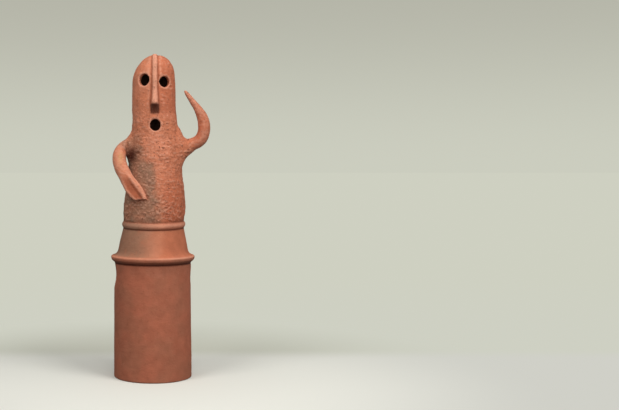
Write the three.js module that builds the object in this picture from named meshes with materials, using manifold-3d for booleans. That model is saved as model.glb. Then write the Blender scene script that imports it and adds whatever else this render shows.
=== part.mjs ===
// A haniwa figure of fired clay: a tall hollow cylinder with a brim, a flaring skirt, a belt and a
// tapering body that ends in a domed head. A pinched ridge runs from the crown down to the nose, the
// eyes and the mouth are holes through the wall, and two solid arms are drawn out of the shoulders:
// one hooks up beside the head and the other bends down with its flat hand resting on the belly.
// Millimetres, +Z up. The figure faces -Y, and "left" and "right" are those of someone facing it.
// The origin is the middle of the figure's own box, on the ground.
import * as THREE from "three";
import { mergeVertices } from "three/addons/utils/BufferGeometryUtils.js";
import Module from "manifold-3d";

const wasm = await Module();
wasm.setup();

// ---- Driving dimensions -------------------------------------------------------------------------

// The cylinder's axis stands left of the origin, because the raised arm reaches further right.
const AXIS_X = -15;
const FACETS = { outside: 48, inside: 32, limb: 16, hole: 24 };

// The outer wall as [radius, height] stations. Each stretch is one smooth curve.
const FOOT = [[75.6, 0], [77.1, 0.7], [77.6, 2.6]];
const DRUM = [[77.4, 40], [76.6, 130], [75.4, 229.6]];
const BRIM = [[79.6, 230.2], [82.6, 232], [83.7, 235.6], [83.3, 239.4], [81.4, 241.2]];
const SKIRT = [[77.6, 242.6], [74.4, 245.6], [71.4, 250.2], [68.2, 260], [65.6, 272.5], [60.2, 296.6]];
const BELT = [[61.2, 298.2], [62.6, 301], [62.7, 304.6], [61.6, 307.6], [59.9, 309.2]];
const TORSO = [
  [60.5, 318], [61.2, 331], [60.4, 349], [57.6, 380], [53.4, 421], [48.6, 461], [45.4, 491], [43.6, 520],
];
const HEAD = [
  [43.2, 545], [42.7, 570], [41.9, 589], [40.2, 600], [36.7, 611], [31.2, 621.2], [24.4, 629.4], [14.4, 636.2],
  [0, 638.6],
];
const STEPS = { torso: 12, head: 13 }; // steps along the torso's curve and the head's

// How far the wall's centre leans right of the cylinder's axis, as [height, shift] stations.
const LEAN = [
  [0, 0], [231, 0], [303, 1.6], [345, 3.4], [425, 4.9], [470, 4.2], [560, 2.2], [590, 2.3], [629, 6], [642, 6],
];
const BODY_DEPTH = 0.97; // front to back over side to side, above the belt
const BODY_FROM = [240, 320]; // the wall turns from round to that oval over these heights

// The hollow, open below: the same form less the wall, as [radius, height] stations.
const HOLLOW = [
  [65.5, 0], [64.4, 120], [63, 214], [60.4, 240], [53.6, 272], [49.4, 304], [49.8, 335], [46.8, 380], [42.4, 421],
  [37.4, 461], [34.4, 495], [33.2, 530], [32.6, 570], [30.6, 596], [25, 613], [13, 624.5], [0, 628],
];
const HOLLOW_STEPS = 18;
const HOLLOW_BELOW = 10; // the hollow's cutting form runs this far below the ground

// The ridge that becomes the nose, in stations along its run from just behind the crown to the lip.
const RIDGE = {
  x: 3.9, // right of the cylinder's axis
  start: { behind: 9, below: 1 }, // where it starts, from the crown
  lip: 522, // height where the underside of the nose meets the face
  tip: 0.885, // share of the run at which the crest stops, so the underside slopes back
  root: 5, // depth of its root below the wall's surface
  height: [[0, 1.2], [0.12, 2.6], [0.35, 3.4], [0.6, 4.8], [0.8, 8.2], [0.94, 12.6], [1, 13.4]],
  crest: [[0, 3.4], [0.5, 3.9], [0.85, 4.6], [1, 5.6]], // half width of the crest
  round: 0.18, // share of its height by which the crest drops at its two edges
  foot: [[0, 6.6], [0.5, 7], [0.85, 8], [1, 8.8]], // half width where it leaves the wall
  steps: 15,
};

// Holes through the wall: radius across, radius up, height, and the way each one faces, in degrees
// round from the front (+ is right).
const HOLES = {
  eye_left: { across: 11.4, up: 12, z: 587.6, turn: -30 },
  eye_right: { across: 11.4, up: 10.9, z: 583.6, turn: 32 },
  mouth: { across: 10.3, up: 11.1, z: 499.7, turn: 2 },
  side_left: { across: 22, up: 22.6, z: 203.4, turn: -87 },
  side_right: { across: 22, up: 22.6, z: 203.4, turn: 98 },
};
const BORE_REACH = 100; // length of each hole's bore, from the cylinder's axis outwards

// The body swells at the shoulders, where the arms are drawn out of it: how far out, at what height,
// over what height, and round to the front (-90 is left, 90 is right) over what angle, in degrees.
const SHOULDERS = [
  { out: 7, z: 456, tall: 27, turn: 90, wide: 32 },
  { out: 3.4, z: 456, tall: 24, turn: -90, wide: 30 },
];

// Each arm as stations [x from the cylinder's axis, y, z, half width, half thickness] from inside the
// shoulder to its end. Thickness is front to back.
const RAISED_ARM = [
  [40, 0, 452, 44, 29], [47, 0, 452, 44, 25.6], [52, 0, 452, 42, 23.4], [55.4, 0, 452, 37, 21.4],
  [59.2, -0.6, 452, 29.6, 18.8], [64, -1.6, 452.4, 22, 16.4], [70, -2.8, 455.8, 16.2, 14],
  [76, -3.8, 459.6, 13.3, 12.8], [82, -4.6, 462.8, 12.2, 12.2], [88.4, -5.2, 466.8, 11.9, 12.1],
  [96.6, -6, 474.8, 11.9, 12], [101.4, -7, 488, 12.1, 12], [101.3, -8, 503, 12.2, 11.6], [97, -9, 518, 11, 10.4],
  [89.2, -10, 531.8, 8.9, 8.6], [79.9, -11, 544.4, 6.8, 6.6], [71, -12, 556.6, 5, 5], [65.2, -13, 564.8, 3.2, 3.6],
  [63.6, -13, 567, 1.6, 2],
];
const LOWERED_ARM = [
  [-36, 0, 452, 38, 26], [-42, -2, 453, 31, 21.4], [-46, -4, 454, 25.5, 18.6], [-49, -5.6, 455, 21.2, 16.6],
  [-52.4, -7.6, 456.6, 17, 15], [-56, -9.8, 457.2, 13.6, 13.6], [-60.8, -12.6, 454.2, 11.5, 12.6],
  [-65, -15.8, 448.4, 11.9, 12.4], [-67.2, -21, 440, 13, 12.6], [-66.4, -28, 428, 13.4, 12.6],
  [-62, -36, 414.6, 13.6, 12.2], [-55.4, -43.2, 402, 13.7, 11.2], [-48, -48.6, 389.8, 14.2, 9.6],
  [-40.8, -52.4, 379.3, 15.4, 7.8], [-32.4, -55, 369, 14.6, 6.6], [-25.4, -56.4, 360, 12.4, 6.2],
  [-20, -57, 350, 10, 6],
];
const LIMB_STEPS = { raised: 32, lowered: 30 };
const LIMB_TURNS = [0.28, 0.42]; // a limb's sections turn square with it between these shares of its run

const HAND = {
  cut: { at: [-25.4, -56.4, 354.6], slope: 6 }, // it ends in one cut, higher by this many degrees to the right
  scoop: { at: [-35.6, -63, 373.6], size: [8.6, 4.6, 19], turn: 38 }, // a shallow dish in the palm
};
const CUTTER = 80; // side of the block that cuts the hand's end

const CLAY = { color: 0xb2694a, roughness: 0.86, metalness: 0 };

// ---- Helpers ------------------------------------------------------------------------------------

const { smoothstep, degToRad, radToDeg } = THREE.MathUtils;

// A smooth function through [position, value] stations.
function smooth(stations) {
  const curve = new THREE.CubicInterpolant(stations.map((s) => s[0]), stations.map((s) => s[1]), 1);
  return (t) => curve.evaluate(t)[0];
}

// Moves each vertex of a geometry with place(Vector3), which changes its argument.
function reshape(geometry, place) {
  const position = geometry.getAttribute("position");
  const v = new THREE.Vector3();
  for (let i = 0; i < position.count; i++) {
    place(v.fromBufferAttribute(position, i));
    position.setXYZ(i, v.x, v.y, v.z);
  }
  return geometry;
}

// A closed geometry as a solid that can be joined and cut.
function solidOf(geometry) {
  const bare = geometry.clone();
  bare.deleteAttribute("normal");
  bare.deleteAttribute("uv");
  const merged = mergeVertices(bare, 1e-4);
  return new wasm.Manifold(new wasm.Mesh({
    numProp: 3,
    vertProperties: merged.getAttribute("position").array,
    triVerts: new Uint32Array(merged.index.array),
  }));
}

// The geometry of a solid.
function geometryOf(solid) {
  const mesh = solid.getMesh();
  const geometry = new THREE.BufferGeometry();
  geometry.setAttribute("position", new THREE.BufferAttribute(mesh.vertProperties, 3));
  geometry.setIndex(new THREE.BufferAttribute(mesh.triVerts, 1));
  geometry.computeVertexNormals();
  return geometry;
}

const points2 = (stations) => stations.map(([x, y]) => new THREE.Vector2(x, y));

// ---- The wall -----------------------------------------------------------------------------------

const lean = smooth(LEAN);

// Turns a vertex of an upright round form into the figure's own form: an oval body that leans.
function settle(v) {
  const oval = smoothstep(v.z, ...BODY_FROM);
  v.x += AXIS_X + lean(v.z);
  v.y *= 1 - oval * (1 - BODY_DEPTH);
}

// Moves a vertex of the wall outwards over the shoulders.
function swell(v) {
  const turn = radToDeg(Math.atan2(v.x, -v.y));
  let out = 0;
  for (const s of SHOULDERS) {
    out += s.out * Math.exp(-(((v.z - s.z) / s.tall) ** 2) - ((turn - s.turn) / s.wide) ** 2);
  }
  const grow = 1 + out / Math.max(1, Math.hypot(v.x, v.y));
  v.x *= grow;
  v.y *= grow;
}

// A form turned about the cylinder's axis from a profile that starts and ends on that axis.
function turned(profile, facets) {
  return new THREE.LatheGeometry(profile, facets).rotateX(Math.PI / 2);
}

function outerWall() {
  const below = points2([[0, 0], ...FOOT, ...DRUM, ...BRIM, ...SKIRT, ...BELT]);
  const torso = new THREE.SplineCurve(points2([BELT.at(-1), ...TORSO])).getSpacedPoints(STEPS.torso);
  const head = new THREE.SplineCurve(points2([TORSO.at(-1), ...HEAD])).getSpacedPoints(STEPS.head);
  const wall = turned([...below, ...torso.slice(1), ...head.slice(1)], FACETS.outside);
  return solidOf(reshape(reshape(wall, swell), settle));
}

function hollow() {
  const inside = new THREE.SplineCurve(points2(HOLLOW)).getSpacedPoints(HOLLOW_STEPS);
  const below = [[0, -HOLLOW_BELOW], [HOLLOW[0][0], -HOLLOW_BELOW]];
  return solidOf(reshape(turned([...points2(below), ...inside.slice(1)], FACETS.inside), settle));
}

// ---- The ridge and nose -------------------------------------------------------------------------

// A block bent along the front of the head: its root lies inside the wall and its crest stands proud.
function ridge() {
  const front = HEAD.map(([radius, z]) => new THREE.Vector2(-radius * BODY_DEPTH, z)).reverse();
  const face = new THREE.Vector2(-HEAD[0][0] * BODY_DEPTH, RIDGE.lip);
  const start = new THREE.Vector2(RIDGE.start.behind, front[0].y - RIDGE.start.below);
  const run = new THREE.SplineCurve([start, ...front, face]);
  const [height, crest, foot] = [RIDGE.height, RIDGE.crest, RIDGE.foot].map(smooth);
  const block = new THREE.BoxGeometry(1, 1, 1, 4, 1, RIDGE.steps);
  return solidOf(reshape(block, (v) => {
    const proud = v.y < 0; // the block's -Y face becomes the crest
    const share = 0.5 - v.z;
    const along = share * (proud ? RIDGE.tip : 1);
    const at = run.getPointAt(along);
    const tangent = run.getTangentAt(along);
    const rise = proud ? height(share) * (1 - RIDGE.round * (2 * v.x) ** 2) : -RIDGE.root;
    const half = proud ? crest(share) : foot(share);
    v.set(AXIS_X + RIDGE.x + 2 * v.x * half, at.x + tangent.y * rise, at.y - tangent.x * rise);
  }));
}

// ---- The holes ----------------------------------------------------------------------------------

// A straight oval bore that runs out of the wall in the direction its hole faces.
function bore({ across, up, z, turn }) {
  const geometry = new THREE.CylinderGeometry(1, 1, BORE_REACH, FACETS.hole);
  geometry.scale(across, 1, up);
  geometry.translate(0, -BORE_REACH / 2, 0);
  geometry.rotateZ(degToRad(turn));
  geometry.translate(AXIS_X + lean(z), 0, z);
  return solidOf(geometry);
}

// ---- The arms -----------------------------------------------------------------------------------

// A limb swept through its stations, with an oval section.
function limb(stations, steps) {
  const path = new THREE.CatmullRomCurve3(stations.map(([x, y, z]) => new THREE.Vector3(AXIS_X + x, y, z)));
  const wide = new THREE.SplineCurve(stations.map((s, i) => new THREE.Vector2(i, s[3])));
  const thick = new THREE.SplineCurve(stations.map((s, i) => new THREE.Vector2(i, s[4])));
  const front = new THREE.Vector3(0, 1, 0);
  const rod = new THREE.CylinderGeometry(1, 1, 1, FACETS.limb, steps);
  return solidOf(reshape(rod, (v) => {
    const t = v.y + 0.5;
    const tangent = path.getTangent(t);
    const out = new THREE.Vector3(Math.sign(tangent.x), 0, 0);
    if (t < LIMB_TURNS[1]) tangent.lerpVectors(out, tangent, smoothstep(t, ...LIMB_TURNS)).normalize();
    const side = new THREE.Vector3().crossVectors(tangent, front).normalize();
    const depth = new THREE.Vector3().crossVectors(side, tangent).normalize();
    const [across, through] = [v.x * wide.getPoint(t).y, v.z * thick.getPoint(t).y];
    v.copy(path.getPoint(t)).addScaledVector(side, across).addScaledVector(depth, through);
  }));
}

// The lowered arm with its hand cut off at the end and dished in the palm.
function loweredArm() {
  const { cut, scoop } = HAND;
  const below = new THREE.BoxGeometry(CUTTER, CUTTER, CUTTER);
  below.translate(0, 0, -CUTTER / 2);
  below.rotateY(-degToRad(cut.slope));
  below.translate(AXIS_X + cut.at[0], cut.at[1], cut.at[2]);
  const dish = new THREE.SphereGeometry(1, 16, 10);
  dish.scale(...scoop.size);
  dish.rotateY(-degToRad(scoop.turn));
  dish.translate(AXIS_X + scoop.at[0], scoop.at[1], scoop.at[2]);
  return limb(LOWERED_ARM, LIMB_STEPS.lowered).subtract(solidOf(below)).subtract(solidOf(dish));
}

// ---- The figure ---------------------------------------------------------------------------------

function figure() {
  const clay = outerWall().add(ridge()).add(limb(RAISED_ARM, LIMB_STEPS.raised)).add(loweredArm());
  const open = Object.values(HOLES).map(bore).reduce((all, hole) => all.add(hole), hollow());
  const mesh = new THREE.Mesh(geometryOf(clay.subtract(open)), new THREE.MeshStandardMaterial(CLAY));
  mesh.name = "haniwa_figure";
  return mesh;
}

const haniwa = new THREE.Group();
haniwa.add(figure());

export default haniwa;
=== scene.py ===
"""A haniwa figure of fired clay, standing on a pale studio floor.

The figure is one hollow pot: a tall cylinder with a brim, a flaring skirt, a belt, a tapering body and
a domed head, with a pinched ridge for a nose, holes for the eyes and the mouth, and two solid arms that
the potter drew out of the shoulders and smeared into the wall.

How the clay is made here. A wall is a profile turned about the cylinder's axis and an arm is an oval
section carried along a path, as on a potter's bench, but the places where they are smeared into each
other have no two-parameter form. So each of them is written as a signed distance (negative inside the
clay), worked out for whole arrays of points at once. The distances are joined with a soft minimum,
which is the smeared joint, and cut with a soft maximum, which is the rounded rim of a hole. The surface
where the joined distance is zero is then drawn as a net of four-sided faces.

Lengths are millimetres, measured from the cylinder's axis on the ground, until the mesh is written in
metres. +Z is up, the figure faces -Y, and left and right are those of someone facing it.
"""

import itertools
import logging
import math
from dataclasses import dataclass, field
from enum import Enum
from typing import Callable, Sequence

import bpy
import numpy as np
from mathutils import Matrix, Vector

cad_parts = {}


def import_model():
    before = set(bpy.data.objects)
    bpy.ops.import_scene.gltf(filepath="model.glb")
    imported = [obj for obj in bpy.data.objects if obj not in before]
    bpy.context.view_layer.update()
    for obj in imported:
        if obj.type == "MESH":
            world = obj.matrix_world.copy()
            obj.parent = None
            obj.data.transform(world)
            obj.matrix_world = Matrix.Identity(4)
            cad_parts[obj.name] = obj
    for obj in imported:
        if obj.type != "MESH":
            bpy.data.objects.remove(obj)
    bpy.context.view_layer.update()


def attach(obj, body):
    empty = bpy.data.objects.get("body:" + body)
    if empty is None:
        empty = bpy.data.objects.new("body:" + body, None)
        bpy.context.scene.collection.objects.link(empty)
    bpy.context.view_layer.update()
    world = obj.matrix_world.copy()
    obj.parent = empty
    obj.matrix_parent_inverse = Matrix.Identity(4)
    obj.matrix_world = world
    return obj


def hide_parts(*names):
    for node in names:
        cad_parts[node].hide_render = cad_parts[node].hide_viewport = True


Array = np.ndarray
Stations = Sequence[Sequence[float]]

LOG = logging.getLogger("haniwa")
NODE = "haniwa_figure"
BODY = "root"
AXIS_X = -15.0  # the cylinder's axis, right of the origin
MM = 0.001


# ---- Curves, steps and soft joins -----------------------------------------------------------------


def through(stations: Stations) -> Callable[[Array], Array]:
    """A smooth function through [position, value] stations.

    Each stretch is a cubic that leaves and meets its stations with the slope of the stations beside
    them. Before the first station and after the last the value is held.

    Args:
        stations: The [position, value] pairs, in order of position.

    Returns:
        A function from an array of positions to an array of values.
    """
    at, value = np.asarray(stations, float).T
    slope = np.gradient(value, at)

    def curve(x: Array) -> Array:
        x = np.clip(x, at[0], at[-1])
        i = np.clip(np.searchsorted(at, x, side="right") - 1, 0, len(at) - 2)
        span = at[i + 1] - at[i]
        t = (x - at[i]) / span
        rise = value[i + 1] - value[i]
        a = slope[i] * span - rise
        b = -slope[i + 1] * span + rise
        return value[i] + t * rise + t * (1 - t) * ((1 - t) * a + t * b)

    return curve


def spline(points: Stations, steps: int) -> Array:
    """A Catmull-Rom curve through points: each span is the cubic whose end slopes are half the chord
    between the points on either side, with the end points counted twice.

    Args:
        points: The points, each of any number of values.
        steps: Steps in each span.

    Returns:
        The points of the curve, one row each.
    """
    p = np.asarray(points, float)
    p = np.vstack([p[:1], p, p[-1:]])
    t = (np.arange(steps) / steps)[None, :, None]
    p0, p1, p2, p3 = (p[i : len(p) - 3 + i, None, :] for i in range(4))
    v0, v1 = (p2 - p0) / 2, (p3 - p1) / 2
    span = (2 * p1 - 2 * p2 + v0 + v1) * t**3 + (3 * p2 - 3 * p1 - 2 * v0 - v1) * t**2 + v0 * t + p1
    return np.vstack([span.reshape(-1, p.shape[1]), p[-1:]])


def smoothstep(low: float, high: float, x: Array) -> Array:
    """0 below low, 1 above high, and the cubic 3t^2 - 2t^3 between them. low may be the larger."""
    t = np.clip((x - low) / (high - low), 0, 1)
    return t * t * (3 - 2 * t)


def mound(x: Array, width: float) -> Array:
    """A bell over x: e to the minus (x / width) squared."""
    return np.exp(-((x / width) ** 2))


def blend(a: Array, b: Array, k: Array | float) -> Array:
    """The soft minimum of two distances: their minimum, less a hump k/4 deep where they are equal
    that ends where they differ by k. It joins two solids with a smeared fillet."""
    h = np.clip(0.5 + 0.5 * (b - a) / k, 0, 1)
    return b + (a - b) * h - k * h * (1 - h)


def carve(a: Array, b: Array, k: Array | float) -> Array:
    """The distance of a with the solid b cut out of it, and the rim rounded off over about k."""
    return -blend(-a, b, k)


# ---- Noise ----------------------------------------------------------------------------------------


def scatter(cell: Array, seed: int) -> Array:
    """A fixed pseudo-random number from 0 to 1 for each whole-number cell.

    The cell's three numbers are multiplied by large primes, mixed with the seed by exclusive or, and
    stirred twice by shifting and multiplying.

    Args:
        cell: Whole numbers, (..., 3).
        seed: Which series of numbers.

    Returns:
        One number per cell.
    """
    c = cell.astype(np.int64)
    n = (c[..., 0] * 73856093) ^ (c[..., 1] * 19349663) ^ (c[..., 2] * 83492791) ^ (seed * 2654435761)
    n = n & 0xFFFFFFFF
    for _ in range(2):
        n = ((n ^ (n >> 15)) * 0x2C1B3C6D) & 0xFFFFFFFF
        n = ((n ^ (n >> 12)) * 0x297A2D39) & 0xFFFFFFFF
    return (n ^ (n >> 15)) / 4294967296.0


def ripple(points: Array, cell: Sequence[float] | float, seed: int) -> Array:
    """Smooth noise from -1 to 1: a random value at each corner of a lattice of cells, blended inside
    a cell with the quintic 6t^5 - 15t^4 + 10t^3.

    Args:
        points: Places, one row each.
        cell: Side of a cell, or its three sides.
        seed: Which noise.

    Returns:
        One value per point.
    """
    q = points / np.asarray(cell, float)
    low = np.floor(q)
    f = q - low
    f = f * f * f * (f * (f * 6 - 15) + 10)
    total = np.zeros(len(points))
    for corner in itertools.product((0, 1), repeat=3):
        weight = np.prod(np.where(corner, f, 1 - f), axis=1)
        total += weight * scatter(low + corner, seed)
    return 2 * total - 1


def layers(points: Array, cell: Sequence[float] | float, seed: int, octaves: int = 3) -> Array:
    """ripple() summed over octaves, each half the size and half the height of the one before."""
    side = np.asarray(cell, float) * np.ones(3)
    total = sum(ripple(points, side / 2**i, seed + i) / 2**i for i in range(octaves))
    return total / (2 - 0.5 ** (octaves - 1))


def pocks(points: Array, cell: float, share: float, size: Sequence[float], seed: int) -> Array:
    """Small round pits left where grit fell out of the clay: how deep each point lies in one, 0 to 1.

    One pit in each lattice cell, at a random place in it, if the cell's random number is under share.
    The depth falls from 1 at the pit's centre to 0 at its edge as (1 - d^2)^2.

    Args:
        points: Places, one row each.
        cell: Side of a cell.
        share: Share of the cells that hold a pit.
        size: Least and greatest radius.
        seed: Which pits.

    Returns:
        One depth per point.
    """
    low = np.floor(points / cell)
    deepest = np.zeros(len(points))
    for step in itertools.product((-1, 0, 1), repeat=3):
        home = low + step
        middle = home + 0.5 + 0.8 * (np.stack([scatter(home, seed + i) for i in range(3)], 1) - 0.5)
        radius = size[0] + (size[1] - size[0]) * scatter(home, seed + 3)
        d2 = ((points - middle * cell) ** 2).sum(1) / radius**2
        depth = np.clip(1 - d2, 0, 1) ** 2
        deepest = np.maximum(deepest, np.where(scatter(home, seed + 4) < share, depth, 0))
    return deepest


# ---- The wall -------------------------------------------------------------------------------------


@dataclass
class Turned:
    """A solid turned about the axis, as the signed distance to its profile, kept on a fine table.

    The table holds, for each radius and height, the distance to the nearest stretch of the profile,
    negative inside. A point's distance is read between the four table values round it.

    Attributes:
        profile: [radius, height] points from the ground up to the axis.
        below: How far the solid runs on below the ground.
        step: Spacing of the table.
        reach: Greatest radius in the table.
    """

    profile: Array
    below: float = 0.0
    step: float = 0.75
    reach: float = 118.0
    table: Array = field(init=False, repr=False)
    lowest: float = -14.0

    def __post_init__(self) -> None:
        """Fills the table."""
        base = [[0.0, -self.below], [self.profile[0, 0], -self.below]]
        line = np.vstack([base, self.profile] if self.below else [base[:1], self.profile])
        a, b = line[:-1], line[1:]
        run = b - a
        length2 = np.maximum((run**2).sum(1), 1e-9)
        radius = np.arange(0, self.reach, self.step)
        height = np.arange(self.lowest, line[:, 1].max() + 26, self.step)
        self.table = np.empty((len(height), len(radius)))
        edge = np.interp(height, line[1:, 1], line[1:, 0])
        for rows in np.array_split(np.arange(len(height)), 32):
            spot = np.stack(np.meshgrid(radius, height[rows]), -1)[..., None, :]
            share = np.clip(((spot - a) * run).sum(-1) / length2, 0, 1)
            gap = spot - a - share[..., None] * run
            self.table[rows] = np.sqrt((gap**2).sum(-1).min(-1))
        inside = (radius[None, :] < edge[:, None]) & (height > -self.below)[:, None]
        inside &= (height < line[:, 1].max())[:, None]
        self.table[inside] *= -1

    def distance(self, radius: Array, height: Array) -> Array:
        """The signed distance at each radius and height, read from the table."""
        u = np.clip(radius / self.step, 0, self.table.shape[1] - 1.001)
        v = np.clip((height - self.lowest) / self.step, 0, self.table.shape[0] - 1.001)
        i, j = u.astype(int), v.astype(int)
        u, v = u - i, v - j
        low = self.table[j, i] * (1 - u) + self.table[j, i + 1] * u
        high = self.table[j + 1, i] * (1 - u) + self.table[j + 1, i + 1] * u
        return low * (1 - v) + high * v


@dataclass(frozen=True)
class Swell:
    """A rise of the outer wall: out, at a height and a turn from the front, over a height and angle."""

    out: float
    z: float
    tall: float
    turn: float
    wide: float

    def rise(self, z: Array, turn: Array) -> Array:
        """The product of a bell over height and a bell over the turn from the front."""
        away = (turn - self.turn + 180) % 360 - 180
        return self.out * mound(z - self.z, self.tall) * mound(away, self.wide)


@dataclass
class Wall:
    """The hollow body, from the foot ring to the crown: an outer and an inner turned form that lean
    to the right and grow oval together.

    Attributes:
        foot, drum, brim, skirt, belt, torso, head: The outer profile as [radius, height] stations.
        hollow: The inner profile.
        lean: [height, shift right] stations of the wall's centre.
        depth: Front to back over side to side, above the belt.
        oval_from: The heights over which the round wall turns oval.
        belt_tilt: How the belt lies askew: its height, over how far the wall goes with it, how far it
            is raised at the sides, and how much more for each millimetre further back.
        swells: Where the wall rises beyond its profile.
        inner_rim: How far the inner edge of the foot is rounded off.
    """

    foot: Stations = ((75.6, 0), (76.7, 0.35), (77.4, 1.4), (77.6, 3))
    drum: Stations = ((77.4, 40), (76.6, 130), (76.1, 190), (76.5, 212), (76.2, 223), (75.6, 226.6))
    brim: Stations = (
        (75.8, 228.2), (76.8, 229.9), (79.2, 231.9), (81.3, 233.9), (82.5, 236.2), (83.1, 238.4), (83.2, 240.2),
        (82.5, 241.8), (81.1, 242.7),
    )
    skirt: Stations = (
        (79.4, 243.3), (76.8, 244.3), (73.7, 246.2), (71.3, 249), (69.6, 253), (68.1, 260), (65.6, 272.5),
        (60.5, 294.5),
    )
    belt: Stations = (
        (60.4, 296.6), (61.2, 298.2), (62.5, 300.6), (62.9, 302.8), (62.7, 305), (61.6, 307.6), (60, 309.4),
        (59.8, 311.5),
    )
    torso: Stations = (
        (60.5, 318), (61.2, 331), (60.4, 349), (57.6, 380), (53.4, 421), (48.6, 461), (45.4, 491), (43.6, 520),
    )
    head: Stations = (
        (43.2, 545), (42.7, 570), (41.9, 589), (40.2, 600), (36.7, 611), (31.2, 621.2), (24.4, 629.4),
        (14.4, 636.2), (6, 638.2), (0, 638.6),
    )
    hollow: Stations = (
        (65.5, 0), (64.4, 120), (63, 214), (60.4, 240), (53.6, 272), (49.4, 304), (49.8, 335), (46.8, 380),
        (42.4, 421), (37.4, 461), (34.4, 495), (33.2, 530), (32.6, 570), (30.6, 596), (25, 613), (13, 624.5),
        (0, 628),
    )
    lean: Stations = (
        (0, 0), (231, 0), (303, 1.6), (345, 3.4), (425, 4.9), (470, 4.2), (560, 2.2), (590, 2.3), (629, 6),
        (642, 6),
    )
    depth: float = 0.97
    oval_from: tuple[float, float] = (240.0, 320.0)
    belt_tilt: tuple[float, float, float, float] = (303.0, 22.0, 1.2, 0.04)
    swells: tuple[Swell, ...] = (
        Swell(out=7, z=456, tall=27, turn=90, wide=32),
        Swell(out=3.4, z=456, tall=24, turn=-90, wide=30),
        Swell(out=-2, z=402, tall=20, turn=90, wide=50),
        Swell(out=-1.2, z=362, tall=16, turn=-90, wide=40),
    )
    inner_rim: float = 2.5
    outer_form: Turned = field(init=False, repr=False)
    inner_form: Turned = field(init=False, repr=False)
    centre: Callable[[Array], Array] = field(init=False, repr=False)

    def __post_init__(self) -> None:
        """Draws the two profiles and fills their tables."""
        outer = [*self.foot, *self.drum, *self.brim, *self.skirt, *self.belt, *self.torso, *self.head]
        self.outer_form = Turned(spline(outer, 6))
        self.inner_form = Turned(spline(self.hollow, 10), below=12)
        self.centre = through(self.lean)

    def upright(self, p: Array) -> tuple[Array, Array, Array]:
        """The points set upright and round: the lean taken off, and the depth made as the width.

        Args:
            p: Points, one row each.

        Returns:
            Radius from the leaning centre, height, and turn from the front in degrees, + to the right.
        """
        x = p[:, 0] - self.centre(p[:, 2])
        y = p[:, 1] / (1 - (1 - self.depth) * smoothstep(*self.oval_from, p[:, 2]))
        belt, reach, raised, more = self.belt_tilt
        z = p[:, 2] - mound(p[:, 2] - belt, reach) * (raised + more * y)
        return np.hypot(x, y), z, np.degrees(np.arctan2(x, -y))

    def outside(self, p: Array) -> Array:
        """Signed distance to the outer form, its radius grown by every swell."""
        radius, z, turn = self.upright(p)
        out = sum(s.rise(z, turn) for s in self.swells)
        return self.outer_form.distance(np.maximum(radius - out, 0), z)

    def inside(self, p: Array) -> Array:
        """Signed distance to the hollow."""
        radius, z, _ = self.upright(p)
        return self.inner_form.distance(radius, z)


# ---- The ridge and nose ---------------------------------------------------------------------------


@dataclass
class Ridge:
    """The strip pinched up from just behind the crown down the face, which stands out as the nose.

    It raises the wall's surface: by a height along its run, over a flat crest with a slope on each
    side. A finger's groove runs down each side of it.

    Attributes:
        x: Its middle, right of the axis.
        height: [z, height above the wall] stations down the face, with the nose's underside last.
        crest: [z, half width of the crest] stations.
        slope: [z, width of the slope beside the crest] stations.
        ends: From where to where, front to back, it dies away behind the crown.
        groove: Depth and half width of the grooves.
        fades: Heights between which the right groove dies away.
    """

    x: float = 3.9
    height: Stations = (
        (517, 0), (521, 0.2), (525, 1.1), (530, 2.9), (534, 5.2), (537.5, 8.8), (540, 12), (541.8, 13.1),
        (544.5, 13.3), (548, 12.4), (560, 8.6), (572, 6.3), (585, 5), (600, 3.9), (620, 3.3), (634, 2.7),
        (642, 2.3),
    )
    crest: Stations = ((520, 5.6), (540, 5.0), (552, 4.2), (575, 3.3), (600, 3.0), (642, 3.0))
    slope: Stations = ((520, 3.2), (540, 3.8), (560, 3.8), (600, 3.2), (642, 2.8))
    ends: tuple[float, float] = (12.0, -3.0)
    groove: tuple[float, float] = (0.75, 2.2)
    fades: tuple[float, float] = (560.0, 582.0)

    def proud(self, p: Array) -> Array:
        """How far the wall's surface is raised at each point.

        Height along the run, times a trapezium across it with its corners eased, less a bell-shaped
        groove at each foot of the trapezium.

        Args:
            p: Points, one row each.

        Returns:
            The rise, 0 behind the head and below the nose.
        """
        z = p[:, 2]
        across = p[:, 0] - self.x
        crest, slope = through(self.crest)(z), through(self.slope)(z)
        rise = through(self.height)(z)
        top = smoothstep(1, 0, (np.abs(across) - crest) / slope) * (1 - 0.12 * np.minimum(np.abs(across) / crest, 1) ** 2)
        run = smoothstep(*self.ends, p[:, 1]) * smoothstep(517, 521, z)
        foot = crest + slope + 0.6
        left = mound(across + foot, self.groove[1]) * smoothstep(524, 545, z) * smoothstep(640, 622, z)
        right = mound(across - foot, self.groove[1]) * smoothstep(*self.fades, z)
        return run * (rise * top - self.groove[0] * (left + right))


# ---- The arms -------------------------------------------------------------------------------------


class Side(Enum):
    """Which side of the figure, as seen by someone facing it."""

    LEFT = -1
    RIGHT = 1


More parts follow.
